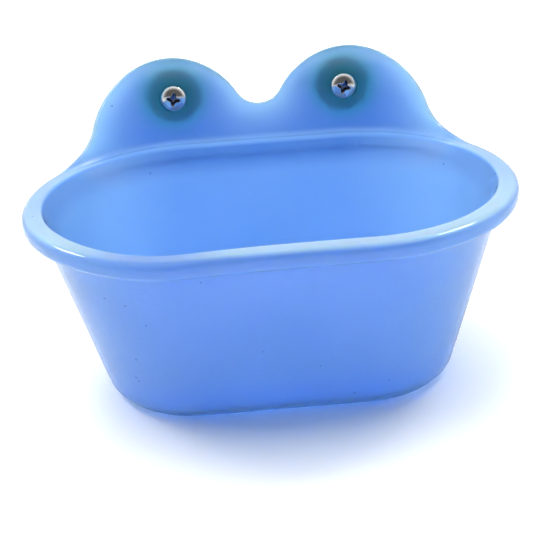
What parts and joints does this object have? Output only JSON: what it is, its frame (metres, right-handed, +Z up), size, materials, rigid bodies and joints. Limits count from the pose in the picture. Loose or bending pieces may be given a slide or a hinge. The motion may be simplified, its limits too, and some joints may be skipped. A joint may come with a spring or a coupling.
{
  "type": "seed cup",
  "caption": "Stadium-shaped plastic cage cup with a thick rounded rim and a twin-lobed back plate that bolts to cage wires with wing nuts and clamp washers.",
  "frame": {"origin": "middle of the flat base, on the surface that the cup stands on", "axes": "+X along the cup to its right end as seen from the front, +Y from the front to the cage, +Z up"},
  "size_m": [0.116, 0.1045, 0.0718],
  "materials": {
    "cup_plastic": "milky translucent blue, smooth moulded gloss",
    "bolt_steel": "bright zinc or nickel plated",
    "clamp_plastic": "green moulded plastic",
    "nut_steel": "plain plated steel"
  },
  "bodies": {
    "cup": {"cup_shell": "cup_plastic", "left_screw": "bolt_steel", "right_screw": "bolt_steel"},
    "left_washer": {"left_clamp_washer": "clamp_plastic"},
    "left_nut": {"left_wing_nut": "clamp_plastic", "left_nut_insert": "nut_steel"},
    "right_washer": {"right_clamp_washer": "clamp_plastic"},
    "right_nut": {"right_wing_nut": "clamp_plastic", "right_nut_insert": "nut_steel"}
  },
  "joints": [
    {"name": "left_washer_slide", "type": "slide", "parent": "cup", "child": "left_washer", "axis": [0, 1, 0], "range_m": [0, 0.015]},
    {"name": "left_nut_spin", "type": "hinge", "parent": "left_washer", "child": "left_nut", "pos_m": [-0.0223, 0.0405, 0.0614], "axis": [0, 1, 0], "range_deg": [0, 10800]},
    {"name": "right_washer_slide", "type": "slide", "parent": "cup", "child": "right_washer", "axis": [0, 1, 0], "range_m": [0, 0.015]},
    {"name": "right_nut_spin", "type": "hinge", "parent": "right_washer", "child": "right_nut", "pos_m": [0.0223, 0.0405, 0.0614], "axis": [0, 1, 0], "range_deg": [0, 10800]}
  ],
  "couplings": [
    {"joint": "left_nut_spin", "follows": "left_washer_slide", "rad_per_m": 12566},
    {"joint": "right_nut_spin", "follows": "right_washer_slide", "rad_per_m": 12566}
  ]
}
